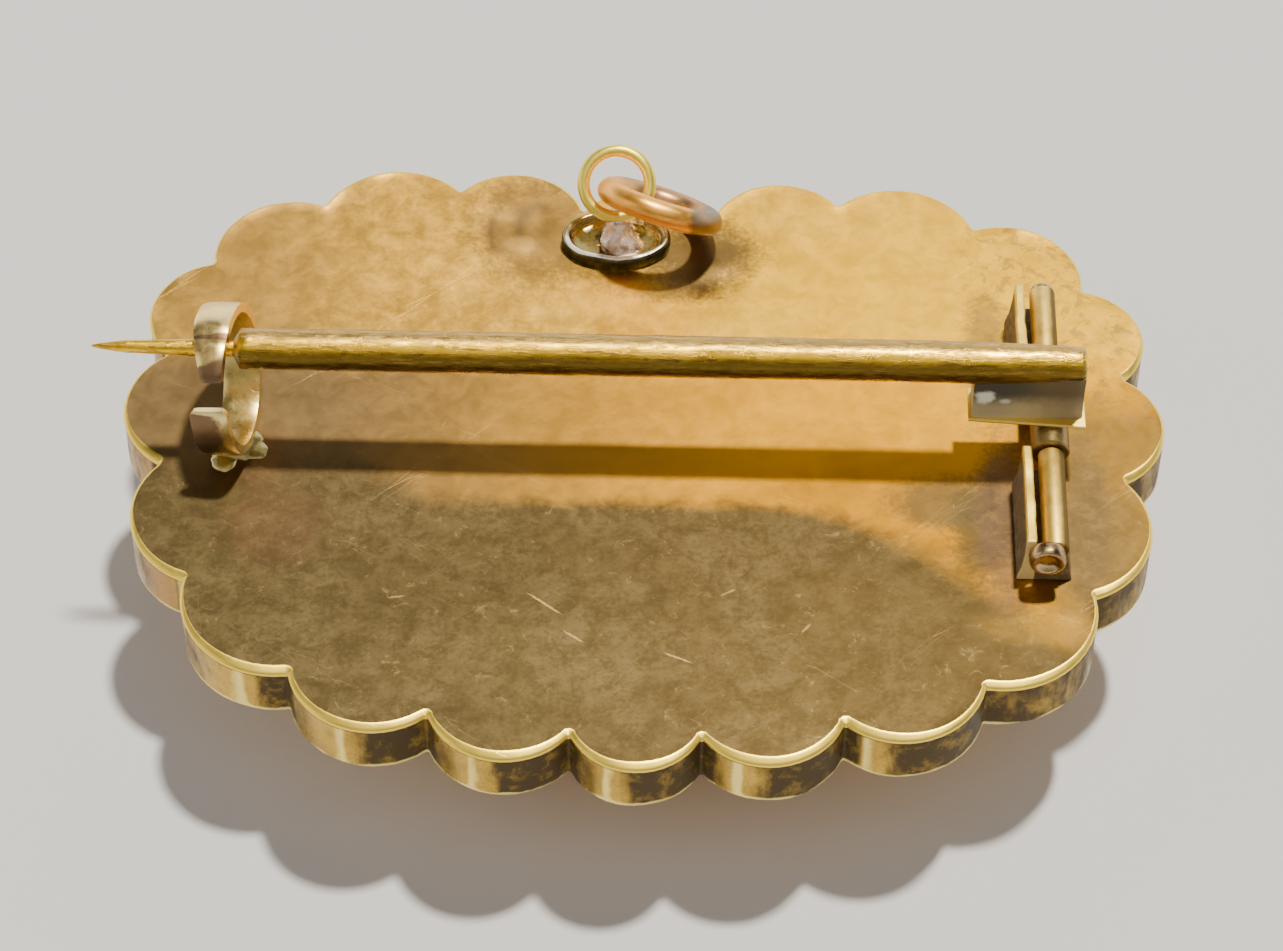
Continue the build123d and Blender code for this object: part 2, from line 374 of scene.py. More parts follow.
class WornGold(Finish):
    # cloudy worn gold with dull dirt in patches, hairlines and small pits, to
    # which a piece adds its own marks
    def __init__(self, name, pale, deep, dirt, dirtAmount=0.4, scale=1.0, roughness=(0.24, 0.40)):
        super().__init__(name, Metallic=1.0)
        broad = self.cloud(self.at, 0.20 * scale, 4.0, 0.6, 0.5)
        middle = self.cloud(self.at, 1.1 * scale, 5.0, 0.62)
        fine = self.cloud(self.at, 7.0 * scale, 3.0)
        self.colour = deep
        self.tint(self.step(broad * 0.45 + middle * 0.35 + fine * 0.20, 0.38, 0.62), pale)
        patch = self.step(middle * 0.6 + fine * 0.4, 0.54, 0.70) * dirtAmount
        self.tint(patch, dirt)
        low, high = roughness
        self.rough = self.step(middle, 0.3, 0.75) * (high - low) + low + patch * 0.12
        lines = self.hairlines(0.7, 1.2, 0.03, 3.0) + self.hairlines(-0.5, 1.5, 0.025, 11.0)
        self.normal = self.bump(middle, self.broadBump, 0.6)
        self.normal = self.bump(fine * 0.6 - lines * 0.4, self.fineBump, 0.8, self.normal)


plateMarks = {
    # each smudge and each patch of painted light and shade: middle, reach, share, colour
    "smudgesAndPaintedLight": [
        ((-4.3, 11.9), (2.6, 2.9), 0.70, (0.27, 0.155, 0.055)),
        # a painted highlight on the raised knock beside the bail
        ((-5.05, 10.85), (0.62, 0.42), 0.75, (0.85, 0.50, 0.12)),
        # painted light in the hinge's shadow beyond its near end
        ((14.8, -8.0), (2.2, 0.8), 0.22, (0.80, 0.45, 0.06)),
        # painted shadow of the pin's head block, in two patches
        ((12.9, -3.4), (1.2, 2.2), 0.85, (0.105, 0.075, 0.031)),
        ((11.9, -2.2), (2.6, 1.2), 0.80, (0.16, 0.112, 0.045)),
        ((17.3, -4.5), (1.6, 3.2), 0.60, (0.20, 0.13, 0.045)),
        # painted shadow of the loose ring, in two patches
        ((1.9, 10.2), (2.3, 2.0), 0.88, (0.15, 0.098, 0.042)),
        ((0.4, 8.9), (2.4, 0.9), 0.60, (0.18, 0.11, 0.04)),
        # painted shade along the left side of the near trough
        ((13.8, -3.4), (1.1, 4.2), 0.80, (0.17, 0.10, 0.055)),
        ((16.8, -2.9), (0.9, 4.0), 0.75, (0.18, 0.115, 0.045)),
        # painted shade along the left side of the far trough
        ((13.3, 5.6), (0.9, 2.6), 0.65, (0.24, 0.145, 0.055)),
        ((-15.4, -0.6), (1.9, 1.5), 0.50, (0.20, 0.115, 0.05)),
        ((-13.8, -3.8), (1.8, 1.8), 0.40, (0.19, 0.10, 0.05)),
    ],
    # crescents left of the bail: middle, reach, and the shift of the circle that cuts them
    "knocks": [((-5.9, 11.6), (0.50, 1.3), (0.22, 0.1)), ((-4.6, 12.1), (0.75, 1.0), (0.35, -0.45))],
    # lone scratches in the near half: middle, turn, length
    "scratches": [((-3.5, -7.4), -0.65, 0.85), ((-2.4, -8.9), -0.6, 0.5), ((3.3, -6.7), 0.5, 0.35),
                  ((-9.0, -7.2), 0.15, 0.35), ((1.5, -9.8), -0.4, 0.6), ((6.2, -8.3), 0.9, 0.3)],
    "scratchWidth": 0.05,
}


def plateGold():
    f = Finish("plateGold", Metallic=1.0)
    x, y, z = f.axes
    broad = f.cloud(f.at, 0.22, 4.0, 0.62, 1.0)
    middle = f.cloud(f.at, 1.0, 5.0, 0.68, 0.4)
    fine = f.cloud(f.at, 5.0, 4.0, 0.65)
    rag = (broad - 0.5) * 1.2 + (middle - 0.5) * 0.5
    # bright gold over the far half, with a painted sheen that is brightest towards the hinge
    f.colour = (0.66, 0.36, 0.045)
    f.tint(f.step(broad * 0.35 + middle * 0.40 + fine * 0.25, 0.38, 0.62), (1.0, 0.56, 0.070))
    # painted sheen, brightest towards the hinge
    f.tint(f.spot((10.5, 8.0), (10.0, 7.0), 0.7, rag) * 0.8, (1.0, 0.55, 0.004))
    f.tint(f.step(x + rag * 2.0, -9.5, -15.5) * 0.75, (0.46, 0.265, 0.065))
    # duller along the middle, more so towards the catch
    shade = f.mix(f.step(x + rag * 2.0, -14.0, 9.0), (0.215, 0.138, 0.058), (0.80, 0.365, 0.002))
    f.tint(f.step(y + rag, 6.0, 3.4) * 0.92, shade)
    f.tint(f.spot((9.3, -2.8), (5.5, 2.6), 0.6, rag) * 0.85, (0.52, 0.235, 0.006))
    f.tint(f.step(x + rag * 2.0, 13.5, 16.5) * f.step(y, 4.5, 1.5) * 0.85, (0.24, 0.145, 0.035))
    # painted shade: a browner near half, bounded by a curve that falls at both ends
    right = x.math("MAXIMUM", x - 4.0)
    left = f.step(x + rag, -7.5, -11.0)
    fall = y + right * right * 0.045 - left * 1.8 + 2.45 + (middle - 0.5) * 0.9
    soft = f.step(x, -4.0, -13.0) + f.step(x, 5.0, 13.0) * 0.9 + 0.45
    paintedNearShade = 1.0 - f.step(fall / soft, -1.0, 1.0)
    nearShadeColour = f.mix(f.step(middle * 0.5 + fine * 0.5, 0.40, 0.60),
                 (0.117, 0.084, 0.033), (0.172, 0.125, 0.052))
    nearShadeColour = f.mix(f.step(broad, 0.36, 0.60) * 0.5, nearShadeColour, (0.108, 0.076, 0.029))
    nearShadeColour = f.mix(f.step(x + rag * 3.0, 3.0, 13.0) * 0.45, nearShadeColour, (0.090, 0.063, 0.024))
    f.tint(paintedNearShade * 0.96, nearShadeColour)
    # smudges beside the bail, below the ring, round the hinge and the catch, and the patches of painted light
    # and shade among them
    for centre, reach, share, shade in plateMarks["smudgesAndPaintedLight"]:
        f.tint(f.spot(centre, reach, 0.4, rag * 0.8 + (fine - 0.5) * 0.9) * share, shade)
    mottle = f.step(f.cloud(f.at, 1.5, 5.0, 0.70, 0.8), 0.50, 0.60) * f.step(x + rag, 11.5, 13.5)
    f.tint(mottle * (1.0 - paintedNearShade) * 0.5, (0.30, 0.18, 0.055))
    for centre, reach, (dx, dy) in plateMarks["knocks"]:
        inside = f.spot((centre[0] + dx, centre[1] + dy), reach, 0.3, rag * 0.5)
        f.tint(f.spot(centre, reach, 0.3, rag * 0.5) * (1.0 - inside) * 0.60, (0.17, 0.11, 0.055))
    # pale flecks, most of them over the near half, then scratches and hairlines
    flecks = f.step(f.cloud(f.at, 1.9, 6.0, 0.70, 1.0), 0.57, 0.72) * 0.8 + f.specks(0.55, 0.07, 0.75)
    flecks = flecks * (0.16 + paintedNearShade * (f.step(broad + middle * 0.5, 0.66, 0.86) * 0.45 + 0.10))
    f.tint(flecks, (0.46, 0.31, 0.12))
    for centre, turn, length in plateMarks["scratches"]:
        dx, dy = x - centre[0], y - centre[1]
        along = (dx * cos(turn) + dy * sin(turn)) * (1.0 / length)
        across = (dy * cos(turn) - dx * sin(turn) + (fine - 0.5) * 0.16) * (1.0 / plateMarks["scratchWidth"])
        stroke = 1.0 - f.step((along * along + across * across) ** 0.5, 0.7, 1.1)
        f.tint(stroke * (0.25 + length * 0.6), (0.70, 0.48, 0.17))
    lines = f.hairlines(0.62, 0.9, 0.022, 3.0, 0.62) + f.hairlines(-0.75, 0.8, 0.02, 11.0, 0.63) \
        + f.hairlines(1.45, 0.8, 0.02, 23.0, 0.66)
    f.tint(lines * 0.45, (0.55, 0.37, 0.13))
    f.tint(f.step(f.attribute("edge") + (fine - 0.5) * 0.3, 0.35, 0.60), (1.0, 0.72, 0.10))
    f.rough = 0.37 + f.step(middle, 0.3, 0.75) * 0.08
    f.normal = f.bump(broad * 0.7 + middle * 0.3, 0.03 * mm, 0.5)
    f.normal = f.bump(fine * 0.5 + flecks * 0.3 - lines * 0.5, f.fineBump, 0.8, f.normal)
    return f.done()


def wallGold():
    f = WornGold("wallGold", (0.70, 0.44, 0.07), (0.38, 0.235, 0.04), (0.13, 0.085, 0.028), 0.5,
                 roughness=(0.18, 0.34))
    x, y, z = f.axes
    rag = f.cloud(f.place((1.0, 1.0, 0.35)), 1.4) - 0.5
    f.tint(f.step(x, -15.5, -18.0) * 0.5, (0.45, 0.22, 0.09))
    patchy = f.step(f.cloud(f.at, 1.1, 5.0, 0.7), 0.48, 0.68)
    # dark in the notches, where dirt sits, and painted shade over the side of each lobe that faces the hinge
    notchDirtAndLeeShade = f.step(f.attribute("notchDirtAndLeeShade") + rag * 0.9, 0.20, 0.62) * (1.0 - patchy * 0.42)
    f.tint(notchDirtAndLeeShade * 0.95, (0.055, 0.034, 0.012))
    # pale along the worn lower edge, and a painted highlight as a bright streak on each lobe
    f.tint(f.step(f.attribute("rubAndGlint") + rag * 0.7, 0.30, 0.62) * 0.9, (1.0, 0.80, 0.24))
    f.rough += notchDirtAndLeeShade * 0.25
    return f.done(Metallic=1.0 - notchDirtAndLeeShade * 0.75, Specular_IOR_Level=0.15)


def catchGold():
    # cream on top, purple-brown where dirt has stayed
    f = WornGold("catchGold", (1.0, 0.79, 0.33), (0.95, 0.64, 0.20), (0.50, 0.28, 0.10),
                 0.12, 2.0, (0.26, 0.38))
    dirt = f.step(f.attribute("dirt") + f.rag(2.2) * 0.45, 0.35, 0.60)
    f.tint(dirt * 0.9, (0.13, 0.065, 0.045))
    f.tint(f.attribute("olive") * 0.7, (0.60, 0.47, 0.14))
    f.rough += dirt * 0.1
    return f.done()


def ringGold():
    # rose gold on the near side, dull mauve on the far side, grey at the right end
    f = WornGold("ringGold", (1.0, 0.56, 0.11), (1.0, 0.43, 0.05), (0.50, 0.24, 0.10),
                 0.22, 1.6, (0.34, 0.44))
    x, y = f.axes[0] - 0.455, f.axes[1] - 11.209
    rag = f.rag(1.8)
    f.tint(f.step(x * 0.35 + y * 0.66 + rag * 0.8, 0.1, 0.7) * 0.80, (0.42, 0.25, 0.15))
    f.tint(f.step(x * 0.95 - y * 0.24 + rag * 0.5, 1.45, 1.75) * 0.85, (0.20, 0.175, 0.13))
    return f.done()


def cupMetal():
    # olive and gold inside, dark outside, and a painted highlight along the rubbed inner edge on its near
    # side
    f = WornGold("cupMetal", (0.52, 0.40, 0.15), (0.34, 0.27, 0.11), (0.12, 0.10, 0.055),
                 0.6, 2.0, (0.20, 0.36))
    rag = f.rag(1.6)
    dark = f.mix(f.step(rag, -0.08, 0.12), (0.05, 0.055, 0.045), (0.15, 0.155, 0.115))
    f.tint(f.step(f.attribute("outside") + rag * 0.5, 0.35, 0.6) * 0.92, dark)
    # painted highlight on the near side of the rubbed inner edge
    rubbedAndGlint = f.step(f.attribute("rubbedAndGlint") + rag * 0.5, 0.32, 0.55)
    f.tint(rubbedAndGlint, (1.0, 0.96, 0.78))
    return f.done(Metallic=1.0 - rubbedAndGlint * 0.6)


def tubeGold():
    # painted shade on the side away from the catch
    f = WornGold("tubeGold", (1.0, 0.70, 0.15), (0.85, 0.55, 0.10), (0.28, 0.17, 0.04),
                 0.2, 1.6, (0.44, 0.54))
    side = f.step(f.axes[0] - hingeX + f.rag(1.5) * 0.10, 0.14, 0.34)
    f.tint(side * 0.85, (0.055, 0.032, 0.014))
    f.rough += side * 0.1
    return f.done()


def pinGold():
    # a painted highlight along one line, with painted shade that is duller above it and dark brown below
    f = WornGold("pinGold", (1.0, 0.60, 0.030), (0.80, 0.46, 0.02), (0.34, 0.20, 0.022),
                 0.3, 1.4, (0.26, 0.40))
    x, y, z = f.axes
    shaft = x > -15.4
    drawn = f.cloud(f.place((0.12, 1.0, 1.0)), 3.0) - 0.5
    height = (z - plateTop - pinHeight) * 0.64 + (y - hingeY) * 0.77 + drawn * 0.22 + f.rag(1.5) * 0.10
    # painted shade above and below the line of the painted highlight
    f.tint(f.step(height, 0.26, 0.44) * 0.85 * shaft, (0.50, 0.33, 0.10))
    f.tint(f.step(height, 0.10, -0.32) * shaft * 0.92, (0.115, 0.072, 0.016))
    streaks = f.step(f.cloud(f.place((0.22, 1.4, 1.4)), 5.0, 5.0, 0.70), 0.48, 0.60)
    f.tint(streaks * 0.7, (0.30, 0.18, 0.035))
    f.normal = f.bump(streaks, 0.008 * mm, 0.6, f.normal)
    return f.done()


def lipGold():
    # rubbed bright along the tops of the sheet and at its near end, brown lower down
    f = WornGold("lipGold", (1.0, 0.77, 0.14), (0.92, 0.60, 0.09), (0.50, 0.29, 0.08),
                 0.12, 1.6, (0.42, 0.50))
    x, y, z = f.axes
    end = hingeY - halfHinge
    nearEnd = f.step(y, end + 0.07, end + 0.03) * (x < hingeX - 0.70)
    low = f.step(z + f.rag(1.5) * 0.25, plateTop + 2.12, plateTop + 1.85) * (1.0 - nearEnd)
    lowerTone = f.mix(f.step(f.cloud(f.at, 2.6, 5.0, 0.7), 0.44, 0.62),
                  (0.085, 0.054, 0.034), (0.20, 0.135, 0.08))
    f.tint(low * 0.92, lowerTone)
    f.tint(nearEnd, (1.0, 0.78, 0.30))
    f.rough += low * 0.2
    return f.done(Metallic=1.0 - low * 0.8 - nearEnd * 0.7)


def leafGold():
    # bright along the edge that shows, and dark below with painted shade
    f = WornGold("leafGold", (1.0, 0.78, 0.18), (0.92, 0.62, 0.12), (0.40, 0.25, 0.07),
                 0.25, 2.0, (0.40, 0.50))
    x, y, z = f.axes
    low = f.step(z, leafFoot + 0.06, leafFoot + 0.02)
    near = f.step(y, hingeY - 0.95, hingeY - 1.05) * (1.0 - low)
    f.tint(low * 0.95, (0.040, 0.028, 0.014))
    f.rough += low * 0.2
    return f.done(Metallic=1.0 - low * 0.8 - near * 0.5)


def blockGrey():
    # grey solder: painted shadow dark under the stem, painted highlights as bright patches, browner at its
    # foot
    f = Finish("blockGrey")
    x, y, z = f.axes
    rag = f.rag(1.2)
    fine = f.cloud(f.at, 6.0, 3.0)
    # dark overall as painted shadow under the stem, lighter lower down
    f.colour = (0.12, 0.118, 0.10)
    f.tint(f.step(z + rag * 0.5 + (fine - 0.5) * 0.1, plateTop + 3.9, plateTop + 2.95), (0.66, 0.57, 0.34))
    f.tint(f.step(x + rag * 1.2, 14.0, 16.0) * 0.65, (0.22, 0.16, 0.08))
    # two bright patches are painted highlights
    bright = f.spot((12.85, plateTop + 3.62), (0.34, 0.30), 0.45, rag * 1.5 + (fine - 0.5) * 0.8, (x, z))
    bright = bright + f.spot((13.6, plateTop + 3.40), (0.20, 0.12), 0.6, rag, (x, z)) * 0.7
    f.tint(bright, (0.95, 1.0, 0.82))
    f.rough = 0.42 - bright * 0.12
    f.normal = f.bump(fine, f.fineBump, 0.5)
    return f.done(Metallic=0.55 - bright * 0.45)


def windowGlass():
    f = Finish("windowGlass", Transmission_Weight=1.0, IOR=1.5)
    smear = f.step(f.cloud(f.at, 1.2, 4.0, 0.55), 0.45, 0.8)
    return f.out(Base_Color=(0.97, 0.98, 0.98), Roughness=smear * 0.06 + 0.02)


def panelSilk():
    f = Finish("panelSilk", Metallic=0.0)
    x, y, z = f.axes
    threads = x.math("SINE", x * 22.0) * y.math("SINE", y * 22.0) * 0.5 + 0.5
    f.colour = (0.58, 0.50, 0.38)
    f.tint(f.cloud(f.at, 0.4, 4.0, 0.55) * 0.6 + threads * 0.2, (0.72, 0.65, 0.52))
    f.rough = 0.75 - threads * 0.1
    f.normal = f.bump(threads, f.broadBump, 0.5)
    return f.done()


def plain(*looks):
    return WornGold(*looks).done()


finishes = {
    "plate": plateGold(),
    "wall": wallGold(),
    "catch": catchGold(),
    "solder": plain("catchSolder", (0.74, 0.64, 0.26), (0.42, 0.37, 0.15), (0.12, 0.10, 0.04),
                    0.5, 3.0, (0.30, 0.50)),
    "lip": lipGold(),
    "leaf": leafGold(),
    "tube": tubeGold(),
    # the knuckle is coloured dark as painted shade, for the shadow of the block and leaf above it
    "knuckle": plain("knuckleGold", (0.40, 0.28, 0.10), (0.20, 0.135, 0.055), (0.07, 0.045, 0.025),
                     0.6, 1.6, (0.36, 0.48)),
    "knob": plain("knobGold", (0.60, 0.42, 0.20), (0.26, 0.17, 0.085), (0.08, 0.05, 0.03),
                  0.5, 2.4, (0.20, 0.36)),
    "pin": pinGold(),
    "block": blockGrey(),
    "cup": cupMetal(),
    "post": plain("postMetal", (0.90, 0.72, 0.58), (0.62, 0.44, 0.32), (0.14, 0.09, 0.06),
                  0.5, 3.0, (0.18, 0.34)),
    "eye": plain("eyeGold", (1.0, 0.86, 0.13), (0.95, 0.72, 0.08), (0.50, 0.35, 0.06),
                 0.15, 2.0, (0.38, 0.46)),
    "ring": ringGold(),
    "front": plain("frontGold", (0.90, 0.55, 0.16), (0.66, 0.39, 0.11), (0.26, 0.15, 0.06)),
    "glass": windowGlass(),
    "silk": panelSilk(),
}
print("finishes", len(finishes))


# back plate

backPlate = {
    "edgeRound": 0.24,
    "rimWidth": 0.30,
    "thickness": 0.34,
    "rings": 44,
    "waveHeight": 0.035,
    "dentDepth": 0.14,
    # section of the worn rim, from outside: shares of its width and depth
    "rim": [(1.0, 0.0), (0.80, 0.09), (0.60, 0.22), (0.40, 0.35), (0.20, 0.50), (0.08, 0.66),
            (0.02, 0.84), (0.0, 1.0)],
    # each dent: middle x and y, reach along x and y, depth
    "dents": [(-5.4, 11.9, 0.6, 0.8, 0.5), (-4.4, 12.0, 0.5, 0.9, 0.45), (-4.9, 10.8, 0.6, 0.4, -0.45),
              (-6.3, 12.0, 0.4, 0.6, 0.3), (3.0, 9.9, 0.7, 0.5, -0.5), (2.2, 8.9, 0.8, 0.4, 0.4)],
}


def plateRise(x, y):
    # the sheet isn't quite flat: slow waves, and small knocks beside the bail
    rise = backPlate["waveHeight"] * (wobble(x, y, 0, 0.11, 4.0) + 0.5 * wobble(x, y, 0, 0.3, 9.0))
    for cx, cy, rx, ry, depth in backPlate["dents"]:
        rise -= backPlate["dentDepth"] * depth * exp(-((x - cx) / rx) ** 2 - ((y - cy) / ry) ** 2)
    return rise


def rimRing(inward, down, extra=0.0):
    # one ring of the worn rim, wide on the near side and narrow elsewhere; with
    # extra, a ring on the flat sheet just inside it
    ring = []
    for place, outward, share in rim:
        near = max(0.0, -outward.y)
        uneven = 1 + 0.22 * wobble(place.x, place.y, 0, 0.35, 12.0)
        inset = backPlate["rimWidth"] * (0.35 + 0.65 * near) * inward * uneven + extra
        x, y = place.x - outward.x * inset, place.y - outward.y * inset
        z = plateTop - backPlate["edgeRound"] * (0.5 + 0.5 * near) * down
        if not extra:
            z += 0.02 * wobble(x, y, 0, 0.9, 2.0) * bell(inset, 0.0, 0.2)
        ring.append((x, y, z + plateRise(x, y) * (1 if extra else 1 - bell(inset, 0, 0.15))))
    return ring


def makeBackPlate():
    under = plateTop - backPlate["thickness"]
    inner = [p - n * (backPlate["rimWidth"] + 0.3) for p, n, s in rim]
    rings = [[(p.x * 0.02, p.y * 0.02, under) for p in inner]]
    for inset in (0.3, 0.04):
        rings.append([(p.x - n.x * inset, p.y - n.y * inset, under) for p, n, s in rim])
    edgeFrom = len(rings)
    rings += [rimRing(inward, down) for inward, down in reversed(backPlate["rim"])]
    edgeTo = len(rings)
    rings.append(rimRing(1.0, 0.0, 0.04))
    count = backPlate["rings"]
    for k in range(count):
        share = 1 - (k / count) * 0.985
        rings.append([(p.x * share, p.y * share, plateTop + plateRise(p.x * share, p.y * share))
                      for p in inner])
    edge = [1.0 if edgeFrom <= k < edgeTo else 0.0 for k in range(len(rings)) for p in rim]
    points, faces = loft(rings)
    faces = [tuple(reversed(face)) for face in faces]        # the outline runs clockwise
    makePiece("backPlate", "case", (points, faces), "plate", 60, {"edge": edge + [0.0, 0.0]})


makeBackPlate()
print("back plate made")


# scalloped wall, swept round the outline by Geometry Nodes

scallopWall = {
    "height": 2.16,
    "thickness": 0.5,
    "edgeRound": 0.09,
    "inset": 0.02,
    "sectionPoints": 44,
    "wear": 0.07,
    "wearReach": 0.30,
    "footReach": 0.24,
    # the side of each lobe that faces the hinge is painted in shade, and a bright streak on each lobe is a
    # painted highlight
    "leeFrom": -0.12,
    "leeShade": 0.90,
    "streakAt": -0.36,
    "streakWidth": 0.09,
    "streakGlint": 0.75,
}


class Recipe(Nodes):
    # one Geometry Nodes tree with named inputs: lengths in millimetres, and the material
    family = "GeometryNode"

    def __init__(self, name, finish, **lengths):
        super().__init__(bpy.data.node_groups.new(name, "GeometryNodeTree"))
        self.inputs = {}
        self.addSocket("Geometry", "INPUT", "Geometry")
        for key, value in lengths.items():
            socket = self.addSocket(key.replace("_", " "), "INPUT", "Float")
            socket.default_value = value * mm
            self.inputs[socket.identifier] = value * mm
        self.inputs[self.addSocket("Material", "INPUT", "Material").identifier] = finishes[finish]
        self.addSocket("Geometry", "OUTPUT", "Geometry")
        self.given = {o.name: Wire(self, o) for o in self.tree.nodes.new("NodeGroupInput").outputs}
        self.end = self.tree.nodes.new("NodeGroupOutput")

    def addSocket(self, name, way, kind):
        return self.tree.interface.new_socket(name=name, in_out=way, socket_type="NodeSocket" + kind)

    def circle(self, count, radius):
        return self.add("CurvePrimitiveCircle", {"mode": "RADIUS"},
                        {"Resolution": count, "Radius": self.given[radius]})

    def softBox(self, width, height, radius):
        # a rectangle with rounded corners
        box = self.add("CurvePrimitiveQuadrilateral", {"mode": "RECTANGLE"},
                       {"Width": self.given[width], "Height": self.given[height]})
        return self.add("FilletCurve", {"mode": "POLY"},
                        {"Curve": box, "Count": 3, "Radius": self.given[radius], "Limit Radius": True})

    def sweep(self, curve, profile):
        return self.add("CurveToMesh", {}, {"Curve": curve, "Profile Curve": profile})

    def bake(self, geometry, name, angle, carrier=None):
        # closes the tree, runs it on the carrier and gives back a plain mesh
        real = self.add("RealizeInstances", {}, {0: geometry})
        coated = self.add("SetMaterial", {}, {"Geometry": real, "Material": self.given["Material"]})
        self.feed(self.end.inputs[0], coated)
        carrier = addObject(name + "Carrier", carrier or bpy.data.meshes.new(name + "Carrier"))
        modifier = carrier.modifiers.new(name, "NODES")
        modifier.node_group = self.tree
        for identifier, value in self.inputs.items():
            modifier[identifier] = value
        mesh = evaluated(carrier)
        mesh.name = name
        carrier.modifiers.remove(modifier)
        bpy.data.objects.remove(carrier)
        smooth(mesh, angle)
        return addObject(name, mesh)


def makeWall():
    size = scallopWall
    recipe = Recipe("scallopSweep", "wall", Thickness=size["thickness"], Height=size["height"],
                    Edge_round=size["edgeRound"])
    rounded = recipe.softBox("Thickness", "Height", "Edge round")
    even = recipe.add("ResampleCurve", {"mode": "COUNT"},
                      {"Curve": rounded, "Count": size["sectionPoints"]})

    line = bpy.data.curves.new("wallPath", "CURVE")
    line.dimensions = "3D"
    line.twist_mode = "Z_UP"
    spline = line.splines.new("POLY")
    spline.points.add(len(rim) - 1)
    middle = plateTop - backPlate["edgeRound"] - size["height"] / 2
    for point, (p, n, s) in zip(spline.points, rim):
        q = p - n * (size["inset"] + size["thickness"] / 2)
        point.co = (q.x * mm, q.y * mm, middle * mm, 1)
    spline.use_cyclic_u = True
    piece = recipe.bake(recipe.sweep(recipe.given["Geometry"], even), "scallopWall", 35, line)

    # rub the lower edge; mark the notches, where dirt gathers, and paint shade over the side of
    # each lobe that faces the hinge, with a painted highlight as a bright streak on each lobe
    notchDirtAndLeeShade, rubbedAndGlint = [], []
    low = middle - size["height"] / 2
    nearest = kdtree.KDTree(len(rim))
    for k, (place, outward, share) in enumerate(rim):
        nearest.insert((place.x, place.y, 0), k)
    nearest.balance()
    for vertex in piece.data.vertices:
        x, y, z = (c / mm for c in vertex.co)
        place, outward, share = rim[nearest.find((x, y, 0))[1]]
        vertex.co.z += mm * bell(z, low, size["wearReach"]) * size["wear"] * (0.4 + wobble(x, y, 0, 0.8, 7.0))
        notch, lee, streak = 1.0, 1.0, 0.0
        if share >= 0:
            notch = max(bell(share, 0, 0.05), bell(share, 1, 0.10))
            lee = 1 / (1 + exp(-(outward.x - size["leeFrom"]) / 0.10))
            streak = size["streakGlint"] * bell(outward.x, size["streakAt"], size["streakWidth"])
        lee = max(lee, 0.45 * bell(outward.x, -0.9, 0.3)) * (1 - 0.4 / (1 + exp(-(x - 14))))
        notchDirtAndLeeShade.append(min(1.0, 0.9 * max(notch, size["leeShade"] * lee)))
        foot = bell(z, low, size["footReach"]) * clamp(0.8 + 1.2 * wobble(x, y, 0, 0.7, 3.0))
        rubbedAndGlint.append(max(streak, foot))
    addMasks(piece.data, {"notchDirtAndLeeShade": notchDirtAndLeeShade, "rubAndGlint": rubbedAndGlint})
    settle(piece, "case")


makeWall()
print("wall made")


# catch: a strip curled into a C, on a lump of solder

catchCurl = {
    "x": -15.5,
    "shift": 0.25,
    "thickness": 0.42,
    "width": 1.42,
    "sink": 0.03,
    "play": 0.04,
    "hookEnd": 135.0,
    "lipEnd": 157.0,
    "lean": 7.0,
    "twist": 5.0,
    "neckRadius": 0.33,
    "endSoftness": 0.22,
    "hookTaper": 0.42,
    "taperReach": 34.0,
    "creaseAt": 98.0,
    "creaseDepth": 0.09,
    "steps": 84,
    "sides": 20,
    # each lump: middle x and y, reach along x and y, height
    "solder": [(-15.65, 0.30, 1.02, 1.15, 0.34), (-15.95, -0.78, 0.52, 0.52, 0.16),
               (-14.90, -0.20, 0.66, 0.50, 0.16)],
}


